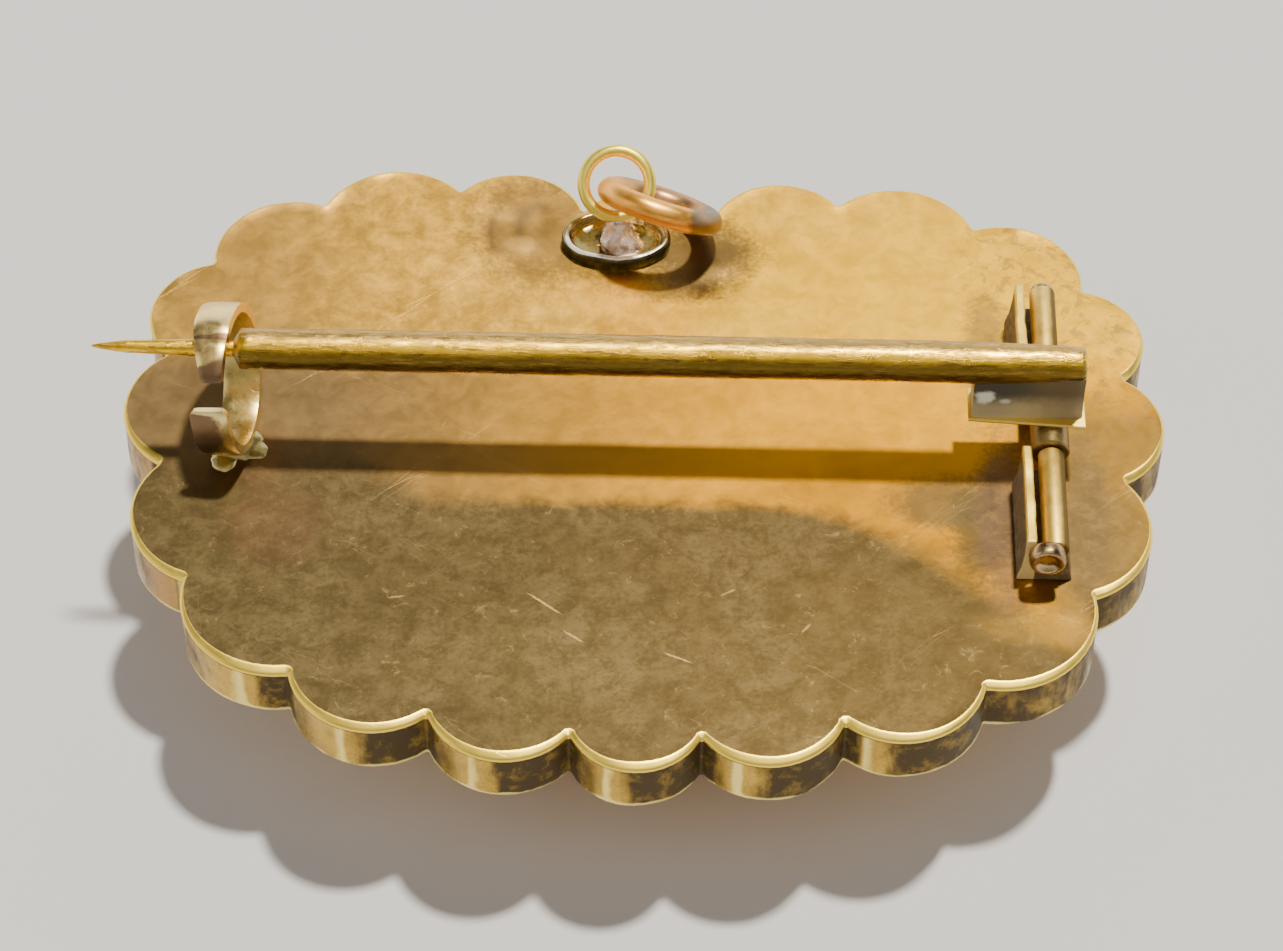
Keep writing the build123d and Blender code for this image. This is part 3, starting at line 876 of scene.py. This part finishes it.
def makeCatch():
    c = catchCurl
    lean, twist = radians(c["lean"]), radians(c["twist"])
    up = Vector((-sin(lean), 0, cos(lean)))
    far = Vector((sin(twist), cos(twist), 0))
    across = far.cross(up).normalized()
    hookHeight = (pinHeight + c["neckRadius"] + c["play"] + c["width"] / 2 * sin(lean)) / cos(lean)
    radius = (hookHeight + c["thickness"] + c["sink"]) / 2
    centre = Vector((c["x"], hingeY + c["shift"], plateTop)) + up * (hookHeight - radius + c["thickness"])
    sweep = c["hookEnd"] + 360 - c["lipEnd"]
    rings, dirt, olive = [], [], []
    for k in range(c["steps"] + 1):
        share = k / c["steps"]
        turn = c["hookEnd"] - sweep * share
        outward = far * cos(radians(turn)) + up * sin(radians(turn))
        endDistance = min(share, 1 - share) * sweep
        close = 1 - c["endSoftness"] * exp(-endDistance / 0.8) if endDistance < 6 else 1
        # the hook narrows to its end
        taper = 1 - c["hookTaper"] * bell(turn, c["hookEnd"] + 4, c["taperReach"])
        half = c["width"] / 2 * taper * close
        thick = c["thickness"] / 2 * close * (1 + 0.12 * bell(turn, 118, 14))
        crease = 0.04 * bell(turn, 87, 7.0) + 0.03 * bell(turn, 110, 6.0) \
            - c["creaseDepth"] * bell(turn, c["creaseAt"], 3.0)
        slide = c["width"] / 2 * (1 - taper) * 0.7
        middle = radius - c["thickness"] / 2 + 0.015 * wobble(turn * 0.05, 0, 0, 1.0, 5.0)
        ring = []
        for spin in turns(c["sides"]):
            side = clamp(1.25 * cos(spin), -1, 1)
            t = clamp(1.35 * sin(spin), -1, 1) * thick
            outer = 1.0 if t > 0.6 * thick else 0.0
            dirt.append(max(clamp((turn - 112) / 16 + 0.25 * side),
                            outer * bell(turn, -182, 34) * (0.78 - 0.5 * side) * (endDistance > 3),
                            outer * bell(turn, -45, 42) * 0.9,
                            1.1 * bell(turn, c["creaseAt"], 3.5) * (0.8 + 0.2 * side)))
            olive.append((1 - outer) * bell(turn, -35, 75))
            if t > 0:
                t += crease * (1 - 0.3 * side ** 2) + 0.02 * (1 - side ** 2)
            ring.append(centre + outward * (middle + t) + across * (side * half + slide))
        rings.append(ring)
    masks = {"dirt": dirt + [1.0, 0.0], "olive": olive + [0.0, 0.0]}
    makePiece("catchCurl", "case", loft(rings), "catch", 48, masks)

    # flat lumps of solder round its foot
    points, faces = [], []
    for n, (cx, cy, rx, ry, h) in enumerate(c["solder"]):
        rings = []
        for k in range(10):
            lift = k / 9 * pi / 2
            reach = max(cos(lift), 0.03) ** 0.7
            rings.append([(cx + rx * reach * cos(a), cy + ry * reach * sin(a), h * sin(lift))
                          for a in turns(48)])
        some, quads = loft(rings)
        faces += [tuple(len(points) + i for i in q) for q in quads]
        for x, y, z in some:
            bumpy = 1 + 0.22 * wobble(x, y, z * 0.4, 1.5, 3.0 + n) + 0.10 * wobble(x, y, z, 4.0, 8.0 + n)
            points.append((cx + (x - cx) * bumpy, cy + (y - cy) * bumpy, plateTop - 0.05 + z * bumpy))
    makePiece("catchSolder", "case", (points, faces), "solder", 35)


makeCatch()
print("catch made")


# hinge: two troughs of folded sheet, fixed tubes in them, rivet through all

hingeTrough = {
    "footLeft": 1.35,
    "footRight": 0.72,
    "lip": 2.3,
    "sheet": 0.36,
    "slot": 0.24,
    "slotFloor": 0.9,
    "bevel": 0.06,
    "steps": 26,
    "tubeRadius": 0.5,
    "boreRadius": 0.29,
    "tubeRound": 0.05,
}


def makeTroughs():
    t = hingeTrough
    inside = t["tubeRadius"] + t["slot"]
    outside = inside + t["sheet"]
    axis, stem, steps = hingeAt["height"], t["tubeRadius"] / 2, t["steps"]
    # section seen from the near side, anticlockwise: foot, root of the tube, slot, tall lip
    section = [(-t["footLeft"], 0), (t["footRight"], 0), (0.62, 0.5), (0.55, 1.1),
               (t["tubeRadius"] * 0.9, axis), (-stem, axis), (-stem, t["slotFloor"]),
               (-inside, t["slotFloor"]), (-inside, 1.6), (-inside, t["lip"]), (-outside, t["lip"]),
               (-outside - 0.02, 1.5), (-outside - 0.10, 0.7), (-outside - 0.20, 0.3)]
    inner = halfKnuckle + hingeAt["gap"]
    for name, start, end in (("farTrough", inner, halfHinge), ("nearTrough", -halfHinge, -inner)):
        rings = []
        for k in range(steps + 1):
            y = hingeY + end + (start - end) * k / steps
            ring = []
            for x, z in section:
                rough = 0.06 if z > 1.55 else 0.02 if z > 0.2 else 0.0
                dx = rough * wobble(x, y, z, 0.9, 6.0) + 0.5 * rough * wobble(x, y, z, 2.6, 1.0)
                dz = -rough * (0.4 + 0.8 * wobble(x, y, z, 1.1, 12.0))
                ring.append((hingeX + x + dx, y, plateTop + z + dz))
            rings.append(ring)
        points, faces = loft(rings, caps=False)
        size = len(section)
        faces += [tuple(reversed(range(size))), tuple(range(steps * size, steps * size + size))]
        makePiece(name, "case", (points, faces), "lip", 35, bevel=t["bevel"])


def makeTubes():
    # the two fixed tubes are one shape, repeated along the hinge
    t = hingeTrough
    length = halfHinge - halfKnuckle - hingeAt["gap"]
    spacing = hingeAt["knuckle"] + 2 * hingeAt["gap"] + length
    recipe = Recipe("tubesAlongHinge", "tube", Tube_radius=(t["tubeRadius"] + t["boreRadius"]) / 2,
                    Wall=t["tubeRadius"] - t["boreRadius"], Length=length, Spacing=spacing,
                    Edge_round=t["tubeRound"])
    tube = recipe.sweep(recipe.circle(40, "Tube radius"), recipe.softBox("Wall", "Length", "Edge round"))
    step = recipe.add("CombineXYZ", {}, {"Z": recipe.given["Spacing"]}, family="ShaderNode")
    row = recipe.add("MeshLine", {"mode": "OFFSET"}, {"Count": 2, "Offset": step})
    placed = recipe.add("InstanceOnPoints", {}, {"Points": row, "Instance": tube})
    piece = recipe.bake(placed, "hingeTubes", 40)
    # stood along Z so far: turn it along the hinge
    lift = Matrix.Translation(Vector((hingeX, hingeY + spacing / 2, hingeZ)) * mm)
    piece.data.transform(lift @ Matrix.Rotation(radians(90), 4, "X"))
    settle(piece, "case")


makeTroughs()
makeTubes()

hingeRivet = {
    "radius": 0.26,
    "headRadius": 0.42,
    "headHeight": 0.22,
    "headGap": 0.06,
    "knobRadius": 0.72,
    "knobHeight": 0.6,
    "knobShift": 0.32,
    "headSides": 32,
    "knobSides": 40,
    # section of the knob, from its sunk face: shares of its radius and height
    "knob": [(0.02, 0.70), (0.30, 0.70), (0.52, 0.78), (0.64, 0.92), (0.74, 1.0), (0.86, 0.98),
             (0.95, 0.88), (1.0, 0.68), (1.0, 0.25), (0.97, 0.06), (0.90, 0.0), (0.02, 0.0)],
}


def makeRivet():
    r = hingeRivet
    half = halfHinge + r["headGap"]
    radius, head, top = r["radius"], r["headRadius"], half + r["headHeight"]
    profile = [(0.02, -half), (radius, -half), (radius, half), (head, half), (head, top - 0.11),
               (head * 0.9, top - 0.04), (head * 0.5, top), (0.02, top)]
    shape = loft(lathe(profile, (hingeX, hingeY, hingeZ), r["headSides"]))
    makePiece("hingeRivet", "hinge_rivet", shape, "knob", 50)

    # the near end is hammered to a knob with a sunk face
    knobX = hingeX - r["knobShift"]
    profile = [(a * r["knobRadius"], -half - b * r["knobHeight"]) for a, b in r["knob"]]
    points, faces = loft(lathe(profile, (knobX, hingeY, hingeZ), r["knobSides"]))
    uneven = []
    for x, y, z in points:
        sideways, upright = (0.965 + 0.03 * wobble(x, y, z, 2.0, seed) for seed in (5.0, 9.0))
        uneven.append((knobX + (x - knobX) * sideways, y, hingeZ + (z - hingeZ) * upright))
    makePiece("rivetKnob", "hinge_rivet", (uneven, faces), "knob", 50)


makeRivet()
print("hinge made")


# bail: cup, post, eye, and the loose ring

bail = {
    "x": -1.27,
    "y": 10.914,
    "cupLength": 2.2,
    "cupWidth": 1.46,
    "cupSides": 88,
    "postSides": 40,
    "ringSides": 72,
    "wireSides": 20,
    # sections of the cup: inset from its outside, height, share outside, share rubbed and given the painted
    # highlight
    "cup": [(0.02, -0.03, 1, 0), (0.0, 0.12, 1, 0), (0.0, 0.34, 1, 0), (0.02, 0.48, 1, 0),
            (0.07, 0.56, 0.5, 0.5), (0.14, 0.60, 0, 1), (0.22, 0.59, 0, 1), (0.29, 0.53, 0, 1),
            (0.34, 0.41, 0, 0.5), (0.40, 0.30, 0, 0), (0.54, 0.24, 0, 0), (0.80, 0.22, 0, 0),
            (1.15, 0.22, 0, 0)],
    # the post widens into a lumpy foot: radius, height
    "post": [(1.05, -0.02), (0.93, 0.10), (0.82, 0.26), (0.73, 0.44), (0.63, 0.64), (0.55, 0.85),
             (0.50, 1.05), (0.45, 1.25), (0.34, 1.42), (0.14, 1.52)],
    "postOval": 0.82,
    "postHeight": 1.45,
    "postShift": 0.1,
    "eyeRadius": 1.33,
    "eyeWire": 0.25,
    "eyeLean": 40.0,
    "ringRadius": 2.1,
    "ringWire": 0.5,
    "ringTilt": 41.75,
    "ringTurn": 26.3,
    "ringLift": 0.05,
    "ringInset": 0.282,
    "ringNear": 0.619,
}


def makeWireRing(name, node, finish, radius, wire, centre, normal):
    recipe = Recipe(name + "Recipe", finish, Ring_radius=radius, Wire_radius=wire)
    circle = recipe.circle(bail["ringSides"], "Ring radius")
    piece = recipe.bake(recipe.sweep(circle, recipe.circle(bail["wireSides"], "Wire radius")), name, 60)
    for vertex in piece.data.vertices:
        x, y, z = (v / mm for v in vertex.co)
        worn = 1 - 0.010 * (1 + wobble(x, y, z, 1.3, 2.0))
        vertex.co.x *= worn
        vertex.co.y *= worn
    turn = Vector(normal).to_track_quat("Z", "Y").to_matrix().to_4x4()
    piece.data.transform(Matrix.Translation(Vector(centre) * mm) @ turn)
    settle(piece, node)


def makeBail():
    b = bail
    rings, outside, rubbedAndGlint = [], [], []
    for inset, z, out, rubAndGlint in b["cup"]:
        ring = []
        for a in turns(b["cupSides"]):
            x, y = (b["cupLength"] - inset) * cos(a), (b["cupWidth"] - inset) * sin(a)
            dent = 0.045 * (wobble(x, y, 0, 1.1, 3.0) - 0.6) + 0.02 * wobble(x, y, z, 3.5, 5.0)
            lift = 0.07 * wobble(x, y, 0, 0.9, 14.0) * bell(z, 0.6, 0.3)
            grow = 1 + dent / max(hypot(x, y), 0.2)
            ring.append((b["x"] + x * grow, b["y"] + y * grow, plateTop + z + lift))
            outside.append(out)
            # the rubbed inner edge gets a painted highlight on its near side
            rubbedAndGlint.append(rubAndGlint * clamp(0.20 - 0.85 * sin(a + 0.2) + 0.4 * wobble(x, y, 0, 1.3, 20.0)))
        rings.append(ring)
    masks = {"outside": outside + [1.0, 0.0], "rubbedAndGlint": rubbedAndGlint + [0.0, 0.0]}
    makePiece("bailCup", "case", loft(rings), "cup", 70, masks)

    rings = [[(radius * cos(a), b["postOval"] * radius * sin(a), z) for a in turns(b["postSides"])]
             for radius, z in b["post"]]
    points, faces = loft(rings)
    lumpy = []
    for x, y, z in points:
        grow = 1 + 0.20 * wobble(x, y, z, 1.9, 9.0) + 0.12 * wobble(x, y, z, 4.2, 1.0)
        slide = b["postShift"] * clamp(z / b["postHeight"])
        lumpy.append((b["x"] + 0.08 + x * grow, b["y"] + slide + y * grow, plateTop + 0.18 + z * 0.88))
    makePiece("bailPost", "case", (lumpy, faces), "post", 80)

    lean = radians(b["eyeLean"])
    out = Vector((0, cos(lean), sin(lean)))
    eye = Vector((b["x"], b["y"] + b["postShift"], plateTop + b["postHeight"])) + out * b["eyeRadius"]
    makeWireRing("bailEye", "case", "eye", b["eyeRadius"], b["eyeWire"], eye, Vector((1, 0, 0)).cross(out))

    tilt, turn = radians(b["ringTilt"]), radians(b["ringTurn"])
    centre = (eye.x + b["ringRadius"] - b["ringInset"] * b["eyeRadius"],
              eye.y - b["ringNear"] * b["eyeRadius"],
              plateTop + b["ringRadius"] * sin(tilt) + b["ringWire"] + b["ringLift"])
    normal = (sin(tilt) * sin(turn), sin(tilt) * cos(turn), cos(tilt))
    makeWireRing("looseRing", "jump_ring", "ring", b["ringRadius"], b["ringWire"], centre, normal)


makeBail()
print("bail made")


# pin: stem, head block, knuckle

pin = {
    "radius": 0.82,
    "shoulder": 0.80,
    "endRadius": 0.68,
    "neck": 0.33,
    "tipX": -20.7,
    "pointLength": 1.3,
    "pointRadius": 0.24,
    "tipRadius": 0.05,
    "endX": 16.55,
    "hookX": -16.12,
    "neckEndX": -15.35,
    "slope": 0.3,
    "blockLength": 4.15,
    "blockDepth": 1.4,
    "blockHollow": 0.10,
    "blockSteps": 24,
    "leaf": 0.16,
    "leafOverhang": 0.12,
    "leafNear": 0.42,
    "leafSkew": 0.30,
    "boreRadius": 0.30,
    "knuckleRound": 0.06,
    "sides": 40,
    "wear": 0.018,
    "flats": 0.03,
}


def makeShaft():
    p = pin
    tip, end, block = p["tipX"], p["endX"], p["endX"] - p["blockLength"]
    radius, neck, shoulder, last = p["radius"], p["neck"], p["shoulder"], p["endRadius"]
    neckEnd, slopeEnd = p["neckEndX"], p["neckEndX"] + p["slope"]
    profile = []         # radius, place along x

    def taper(steps, x0, x1, r0, r1, power=1.0):
        for k in range(1, steps + 1):
            profile.append((r0 + (r1 - r0) * (k / steps) ** power, x0 + (x1 - x0) * k / steps))

    profile += [(0.012, tip), (p["tipRadius"], tip + 0.05), (0.11, tip + 0.35), (0.17, tip + 0.75),
                (p["pointRadius"], tip + p["pointLength"])]
    taper(16, tip + p["pointLength"], p["hookX"] - 0.9, p["pointRadius"], neck)
    profile += [(neck, neckEnd), (neck + 0.05, neckEnd + 0.03),
                (shoulder - 0.05, slopeEnd - 0.08), (shoulder, slopeEnd)]
    taper(90, slopeEnd, block, shoulder, radius)
    taper(12, block, end - 0.2, radius, last, 1.5)
    profile += [(last - 0.03, end - 0.12), (last - 0.09, end - 0.05), (last - 0.2, end), (0.2, end)]
    profile = [(r, x - tip) for r, x in profile]
    start = (tip, hingeY, plateTop + pinHeight)
    points, faces = loft(lathe(profile, start, p["sides"], (1, 0, 0), (0, 1, 0)))
    worn = []
    for q in points:
        dy, dz = q.y - hingeY, q.z - plateTop - pinHeight
        grow = 1
        if hypot(dy, dz) > 0.25:
            # hammered a little flat in places; never thicker than drawn
            flat = max(0, wobble(q.x * 0.35, dy, dz, 0.9, 15.0))
            grow = 1 - p["wear"] * (1 + wobble(q.x * 0.8, dy, dz, 1.2, 4.0)) - p["flats"] * flat
        worn.append((q.x, hingeY + dy * grow, plateTop + pinHeight + dz * grow))
    makePiece("pinShaft", "pin_stem", (worn, faces), "pin", 50)


def makePinHead():
    p = pin
    length, halfDepth, steps = p["blockLength"], p["blockDepth"] / 2, p["blockSteps"]
    start, edge, over = p["endX"] - length, p["leaf"] / 2, p["leafOverhang"]
    # block: hollow-faced solder between the shaft and a leaf of sheet
    foot, top = leafFoot + edge, plateTop + pinHeight - 0.12
    shares = [0, 0.12, 0.25, 0.4, 0.55, 0.7, 0.85, 1.0]
    rings = []
    for k in range(steps + 1):
        x = start + length * k / steps
        inset = 0.06 * (bell(k, 0, 0.8) + bell(k, steps, 0.8))
        ring = []
        for way, order in ((1, shares), (-1, shares[::-1])):        # far face upwards, near face downwards
            for s in order:
                hollow = p["blockHollow"] * sin(pi * s) + (0.02 * wobble(x, s, 0, 0.8, 3.0) if way < 0 else 0)
                ring.append((x, hingeY + way * (halfDepth - hollow - inset), foot + (top - foot) * s))
        rings.append(ring)
    makePiece("pinBlock", "pin_stem", loft(rings), "block", 45)

    # leaf under the block, with rounded long edges
    rings = []
    for k in range(steps + 1):
        x = start - over + (length + 2 * over) * k / steps
        drift = 0.02 * (1 + wobble(x, 0, 0, 1.5, 8.0)) + p["leafSkew"] * (1 - k / steps)
        ring = []
        for away, turn in ((halfDepth + over - edge, -pi / 2),
                           (edge + drift - halfDepth - p["leafNear"], pi / 2)):
            for a in range(8):
                spin = turn + pi * a / 7
                ring.append((x, hingeY + away + edge * cos(spin), leafFoot + edge + edge * sin(spin)))
        rings.append(ring)
    makePiece("pinLeaf", "pin_stem", loft(rings), "leaf", 45)

    half, outer, bore, soft = halfKnuckle, hingeAt["knuckleRadius"], p["boreRadius"], p["knuckleRound"]
    profile = [(bore, -half), (outer - soft, -half), (outer, soft - half), (outer, half - soft),
               (outer - soft, half), (bore, half), (bore, -half)]
    shape = loft(lathe(profile, (hingeX, hingeY, hingeZ), p["sides"]), caps=False)
    makePiece("pinKnuckle", "pin_stem", shape, "knuckle", 40)


makeShaft()
makePinHead()
print("pin made")


# front pieces keep their CAD shape

for node, finish in (("front_frame", "front"), ("locket_glass", "glass"), ("locket_panel", "silk")):
    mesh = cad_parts[node].data
    for k in range(len(mesh.materials)):
        mesh.materials[k] = finishes[finish]
print("front dressed")


# floor, light, camera

studio = {
    "floorHalf": 900.0,
    "floorColour": (0.66, 0.66, 0.66),
    "skyColour": (1.0, 0.98, 0.95),
    "skyHigh": 0.09,
    "skyLow": 0.75,
    "skyRim": 1.8,           # more light low down on the far side
    "keyOff": 12.0,          # degrees off upright, towards the far side
    "keyRight": 9.5,
    "keyStrength": 4.8,
    "keyAngle": 4.0,
    "keyColour": (1.0, 0.95, 0.85),
    "boxColour": (1.0, 0.97, 0.93),
    # soft boxes: direction, distance, width and height, and how bright they look
    "boxes": {
        "topBox": ((0.05, -0.50, 0.86), 520, (520, 320), 0.9),
        "farBox": ((0.16, 0.82, 0.54), 420, (190, 150), 1.3),
        "leftBox": ((-0.85, -0.25, 0.50), 420, (200, 220), 1.4),
    },
}


def makeStudio():
    s = studio
    half = s["floorHalf"] * mm
    mesh = bpy.data.meshes.new("floor")
    corners = [(-half, -half, 0), (half, -half, 0), (half, half, 0), (-half, half, 0)]
    mesh.from_pydata(corners, [], [(0, 1, 2, 3)])
    mesh.materials.append(Finish("floorPaper", Roughness=0.7).out(Base_Color=s["floorColour"]))
    floor = addObject("floor", mesh)

    # pale walls low down, brightest on the far side, and darker overhead
    world = bpy.data.worlds.new("studioSky")
    scene.world = world
    world.use_nodes = True
    sky = Nodes(world.node_tree)
    x, y, z = sky.split(sky.add("TexCoord", {}, {}, "Generated"))
    walls = sky.step(z, 0.08, 0.55, s["skyLow"], s["skyHigh"])
    glow = sky.step(z, 0.16, 0.42, s["skyRim"], 0.0) * sky.step(y, -0.1, 0.4)
    background = sky.tree.nodes["Background"]
    sky.feed(background.inputs["Color"], s["skyColour"])
    sky.feed(background.inputs["Strength"], walls + glow)

    def lamp(name, kind, strength, colour, towards, distance):
        data = bpy.data.lights.new(name, kind)
        data.energy = strength
        data.color = colour
        towards = Vector(towards).normalized()
        holder = addObject(name, data)
        holder.rotation_mode = "QUATERNION"
        holder.rotation_quaternion = towards.to_track_quat("Z", "Y")
        holder.location = Vector((0, 0, plateTop * mm)) + towards * distance * mm
        return data

    off, right = radians(s["keyOff"]), radians(s["keyRight"])
    key = lamp("key", "SUN", s["keyStrength"], s["keyColour"], (sin(right), sin(off), cos(off)), 400)
    key.angle = radians(s["keyAngle"])
    for name, (towards, distance, (width, height), bright) in s["boxes"].items():
        box = lamp(name, "AREA", bright * pi * width * height * mm * mm, s["boxColour"], towards, distance)
        box.shape = "RECTANGLE"
        box.size, box.size_y = width * mm, height * mm


makeStudio()

viewpoint = {
    "elevation": 50.0,
    "azimuth": 0.674,
    "roll": 0.604,
    "distance": 160.0,
    "right": -0.033,
    "up": -0.839,
    "focal": 4187.4,          # in pixels of the picture
    "pictureWidth": 1283,
    "sensor": 36.0,
}


def makeCamera():
    v = viewpoint
    el, az, roll = radians(v["elevation"]), radians(v["azimuth"]), radians(v["roll"])
    back = Vector((sin(az) * cos(el), -cos(az) * cos(el), sin(el)))
    right = Vector((cos(az), sin(az), 0))
    up = right.cross(-back)
    place = Vector((0, 0, plateTop)) + back * v["distance"] + right * v["right"] + up * v["up"]
    rolledRight = right * cos(roll) + up * sin(roll)
    rolledUp = up * cos(roll) - right * sin(roll)
    data = bpy.data.cameras.new("camera")
    data.sensor_fit = "HORIZONTAL"
    data.sensor_width = v["sensor"]
    data.lens = v["focal"] / v["pictureWidth"] * v["sensor"]
    data.clip_start = 0.005
    data.clip_end = 10.0
    camera = addObject("camera", data)
    turn = Matrix((rolledRight, rolledUp, back)).transposed().to_4x4()
    camera.matrix_world = Matrix.Translation(place * mm) @ turn
    scene.camera = camera


makeCamera()
print("studio ready")
